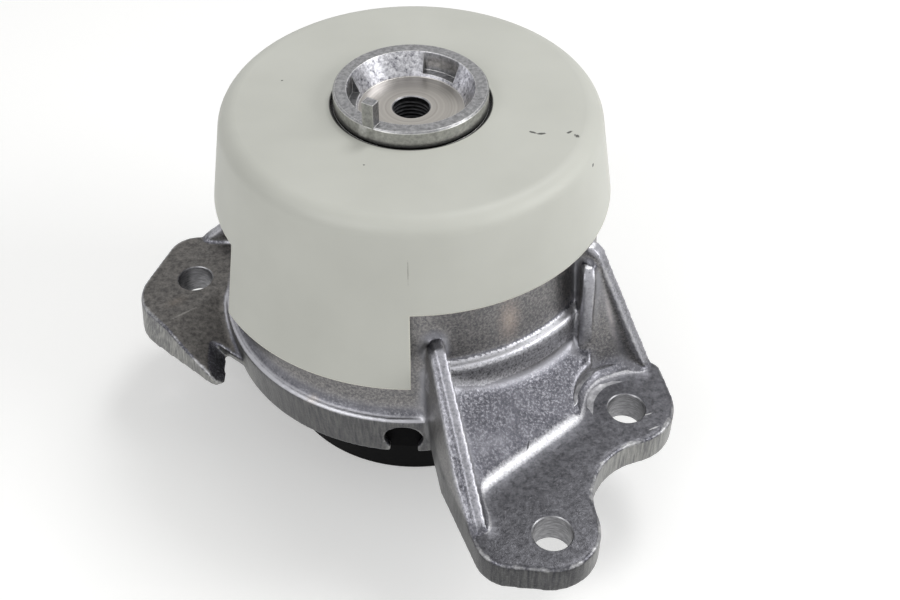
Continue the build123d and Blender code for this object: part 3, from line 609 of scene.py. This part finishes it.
SEAT_HEIGHT = 110.5
THREAD_CORE_RADIUS = 5.35
THREAD_ROOT_RADIUS = 6.0
THREAD_INSIDE = 0.2
THREAD_PITCH = 1.25
THREAD_TURNS = 22
THREAD_STEPS = 36
THREAD_HALF_WIDTH = 0.56
THREAD_START = 0.9
MOUTH_CHAMFER = 0.3
BODY_TONES = (0.32, "#707072"), (0.70, "#A2A2A3")
CONE_TONES = (0.30, "#4A4A52"), (0.38, "#8E8E94"), (0.62, "#D9D9DD")
OUTSIDE_TONES = (0.32, "#949492"), (0.70, "#BEBEBA")
SEAT_TONES = (0.35, "#999590"), (0.65, "#AEAAA4")
CORE_EDGE_HIGHLIGHT = "#DCDCDA"
GAP_PAINTED_SHADOW = "#101010"
CORE_EDGE_MM = 0.3
CORE_GRAIN_MM = 1.1
SEAT_RING_MM = 0.7
CONE_SLOPE = (0.30, "#000000"), (0.40, "#FFFFFF"), (0.93, "#FFFFFF"), (0.97, "#000000")
RECESS_RIM = 19.0 * MM, 19.6 * MM
COLLAR_WALL = 22.15 * MM, 22.25 * MM
CAP_GAP = 112.2 * MM, 112.8 * MM
SEAT_LEVEL = (SEAT_HEIGHT + 0.1) * MM, (SEAT_HEIGHT + 0.3) * MM
core_aluminium, tree, surface, place = new_finish("turned_core_aluminium")
across, along, height = add_node(tree, "ShaderNodeSeparateXYZ", None, {0: place}).outputs
radius = distance_from_axis(tree, across, along)
normal = add_node(tree, "ShaderNodeNewGeometry").outputs["Normal"]
facing = add_node(tree, "ShaderNodeSeparateXYZ", None, {0: normal}).outputs["Z"]
grit = add_node(tree, "ShaderNodeTexNoise", None,
                {"Vector": place, "Scale": per(CORE_GRAIN_MM), "Detail": 4.0,
                 "Roughness": 0.65}).outputs["Fac"]
by_radius = add_node(tree, "ShaderNodeCombineXYZ", None, {"X": radius}).outputs[0]
rings = add_node(tree, "ShaderNodeTexNoise", None,
                 {"Vector": by_radius, "Scale": per(SEAT_RING_MM),
                  "Detail": 3.0}).outputs["Fac"]
body_tone, cone_tone, outside_tone, seat_tone, cone_slope = (
    add_node(tree, "ShaderNodeValToRGB", {"stops": stops}, {"Fac": value}).outputs["Color"]
    for value, stops in ((grit, BODY_TONES), (grit, CONE_TONES), (grit, OUTSIDE_TONES),
                         (rings, SEAT_TONES), (facing, CONE_SLOPE)))
recess, outside, gap, seat = (
    add_node(tree, "ShaderNodeMapRange", None,
             {"Value": value, "From Min": start, "From Max": end, "To Min": low,
              "To Max": high}).outputs["Result"]
    for value, (start, end), low, high in (
        (radius, RECESS_RIM, 1.0, 0.0), (radius, COLLAR_WALL, 0.0, 1.0),
        (height, CAP_GAP, 1.0, 0.0), (height, SEAT_LEVEL, 1.0, 0.0)))
rounded, edge = edges_of(tree, CORE_EDGE_MM, 0.90, 0.8)
skin = body_tone
# Painted light on the core: a highlight on its edges, and shadow on the collar's wall in the gap
# under the cap.
for tone, *parts in ((cone_tone, cone_slope, recess), (outside_tone, outside),
                     (linear(GAP_PAINTED_SHADOW), gap, outside), (seat_tone, seat),
                     (linear(CORE_EDGE_HIGHLIGHT), edge)):
    skin = overlaid(tree, skin, tone, *parts)
relief = add_node(tree, "ShaderNodeBump", None,
                  {"Height": rings, "Strength": 0.15, "Distance": 0.05 * MM,
                   "Normal": rounded})
tree.links.new(skin, surface.inputs["Base Color"])
tree.links.new(relief.outputs["Normal"], surface.inputs["Normal"])
surface.inputs["Metallic"].default_value = 0.9
surface.inputs["Roughness"].default_value = 0.3

# The thread's groove is a three-sided profile carried up the hole in a helix.
thread = bmesh.new()
crest_radius = THREAD_CORE_RADIUS - THREAD_INSIDE
lowest = SEAT_HEIGHT - THREAD_START - THREAD_TURNS * THREAD_PITCH
groove = [thread.verts.new((x_mm * MM, 0, z_mm * MM)) for x_mm, z_mm in (
    (crest_radius, lowest - THREAD_HALF_WIDTH), (THREAD_ROOT_RADIUS, lowest),
    (crest_radius, lowest + THREAD_HALF_WIDTH))]
sides = [thread.edges.new((groove[index - 1], groove[index])) for index in range(len(groove))]
bmesh.ops.spin(thread, geom=groove + sides, cent=(0, 0, 0), axis=(0, 0, 1),
               angle=2 * pi * THREAD_TURNS, dvec=(0, 0, THREAD_PITCH * MM / THREAD_STEPS),
               steps=THREAD_TURNS * THREAD_STEPS)
bmesh.ops.holes_fill(thread, edges=[side for side in thread.edges if side.is_boundary],
                     sides=len(groove))
bmesh.ops.recalc_face_normals(thread, faces=thread.faces)
mouth = bmesh.new()
mouth_top = SEAT_HEIGHT + FACE_CLEARANCE
mouth_floor = SEAT_HEIGHT - MOUTH_CHAMFER
add_turned(mouth, (0, 0), (
    (0, mouth_floor), (THREAD_CORE_RADIUS, mouth_floor),
    (THREAD_CORE_RADIUS + MOUTH_CHAMFER + FACE_CLEARANCE, mouth_top), (0, mouth_top)))
tapped = cut_finishes["tapped_aluminium_painted_shade"]
core = finished(merged_copy("core"), "core")
core = cut_from(core, (core_aluminium,), thread, tapped)
core = cut_from(core, (core_aluminium, tapped), mouth, cut_finishes["milled_aluminium"])
for face in core.polygons:
    in_hole = face.center.xy.length < THREAD_ROOT_RADIUS * MM
    if in_hole and face.center.z < mouth_floor * MM:
        face.material_index = 1
shade(core, cuts_only=False)
add_piece("core_casting", core, "core")

# Base cup: black glass-filled nylon, moulded. It holds the bellows, and is dull,
# with a faint cloud in its black.

CUP_TONES = (0.3, "#050506"), (0.8, "#0D0D0E")
CUP_CLOUD_MM = 1.5
cup_plastic, tree, surface, place = new_finish("black_nylon")
cloud = add_node(tree, "ShaderNodeTexNoise", None,
                 {"Vector": place, "Scale": per(CUP_CLOUD_MM)})
skin = add_node(tree, "ShaderNodeValToRGB", {"stops": CUP_TONES},
                {"Fac": cloud.outputs["Fac"]})
tree.links.new(skin.outputs["Color"], surface.inputs["Base Color"])
surface.inputs["Roughness"].default_value = 0.6
surface.inputs["Specular IOR Level"].default_value = 0.04
dress("base_cup", cup_plastic)

# Inside of the mount: dull black natural rubber, moulded, for the spring, bellows,
# membrane, buffer and seal; bright zinc-plated steel rings; and two pale die-cast
# plates.

for finish_name, dark, light, cloud_mm, metallic, roughness, node_names in (
        ("black_rubber", "#151515", "#242423", 2.0, 0.0, 0.7,
         ("main_spring", "bellows", "decoupler_membrane", "rebound_buffer", "channel_seal")),
        ("zinc_plated_steel", "#9A9B9A", "#B6B7B5", 6.0, 1.0, 0.35,
         ("spring_ring", "stop_ring", "bellows_ring")),
        ("channel_plate_aluminium", "#A4A5A5", "#C0C1C0", 3.0, 1.0, 0.4,
         ("lower_channel_plate", "upper_channel_plate"))):
    finish, tree, surface, place = new_finish(finish_name)
    cloud = add_node(tree, "ShaderNodeTexNoise", None, {"Vector": place, "Scale": per(cloud_mm)})
    skin = add_node(tree, "ShaderNodeValToRGB", {"stops": ((0.3, dark), (0.8, light))},
                    {"Fac": cloud.outputs["Fac"]})
    tree.links.new(skin.outputs["Color"], surface.inputs["Base Color"])
    surface.inputs["Metallic"].default_value = metallic
    surface.inputs["Roughness"].default_value = roughness
    for name in node_names:
        dress(name, finish)

# Floor: a pale, seamless sheet of matt studio paper that the mount stands on. It
# is lifted a little for the camera, so that it shows near white.

FLOOR_WHITE = "#F4F4F3"
FLOOR_HALF = 3.0
FLOOR_LIFT = 0.30


def lift_for_view(tree, low, high):
    """High where the camera, a reflection or a glass sees it, and low for shading."""
    rays = add_node(tree, "ShaderNodeLightPath").outputs
    seen = rays["Is Camera Ray"]
    for name in ("Is Glossy Ray", "Is Transmission Ray"):
        seen = add_node(tree, "ShaderNodeMath", {"operation": "MAXIMUM"},
                        {0: seen, 1: rays[name]}).outputs[0]
    return add_node(tree, "ShaderNodeMapRange", None,
                    {"Value": seen, "To Min": low, "To Max": high}).outputs["Result"]


sheet = bmesh.new()
bmesh.ops.create_grid(sheet, x_segments=1, y_segments=1, size=FLOOR_HALF)
floor_mesh = finished(sheet, "studio_floor")
floor_paper, tree, surface, place = new_finish("studio_paper")
surface.inputs["Base Color"].default_value = linear(FLOOR_WHITE)
surface.inputs["Roughness"].default_value = 0.9
surface.inputs["Emission Color"].default_value = linear(FLOOR_WHITE)
tree.links.new(lift_for_view(tree, 0.0, FLOOR_LIFT), surface.inputs["Emission Strength"])
floor_mesh.materials.append(floor_paper)
floor = bpy.data.objects.new("studio_floor", floor_mesh)
bpy.context.scene.collection.objects.link(floor)

# Studio: a white room for the camera and for reflections, dimmer for shading,
# with a soft box overhead and one on either side.

FILL_LEVEL = 0.36
world = bpy.data.worlds.new("studio_room")
bpy.context.scene.world = world
world.use_nodes = True
tree = world.node_tree
tree.nodes.clear()
room = add_node(tree, "ShaderNodeBackground", None,
                {"Color": (1, 1, 1, 1), "Strength": lift_for_view(tree, FILL_LEVEL, 1.0)})
add_node(tree, "ShaderNodeOutputWorld", None, {"Surface": room.outputs["Background"]})
for box_name, place_m, aim_m, side_m, watts in (
        ("overhead_box", (0.32, 0.30, 0.95), (0.03, -0.05, 0.05), 0.3, 2.6),
        ("right_box", (0.95, -0.25, 0.60), (0.0, 0.0, 0.06), 0.6, 5.2),
        ("left_box", (-0.60, -0.70, 0.75), (0.0, 0.0, 0.06), 0.6, 3.4)):
    lamp = bpy.data.lights.new(box_name, "AREA")
    lamp.size = side_m
    lamp.energy = watts
    box = bpy.data.objects.new(box_name, lamp)
    box.location = place_m
    beam = Vector(aim_m) - Vector(place_m)
    box.rotation_euler = beam.to_track_quat("-Z", "Y").to_euler()
    bpy.context.scene.collection.objects.link(box)

# Camera: in front and above, 50 mm lens, looking down at the mount as the
# photograph does.

CAMERA_PLACE = (0.01135, -0.29794, 0.31993)
CAMERA_LOOKS_DOWN = 43.888
CAMERA_TURN = 0.22
camera_data = bpy.data.cameras.new("camera")
camera_data.lens = 50.0
camera_data.sensor_width = 36.0
camera = bpy.data.objects.new("camera", camera_data)
camera.location = CAMERA_PLACE
camera.rotation_mode = "ZYX"
camera.rotation_euler = (radians(90 - CAMERA_LOOKS_DOWN), 0, radians(CAMERA_TURN))
bpy.context.scene.collection.objects.link(camera)
bpy.context.scene.camera = camera
bpy.context.scene.view_settings.view_transform = "Standard"
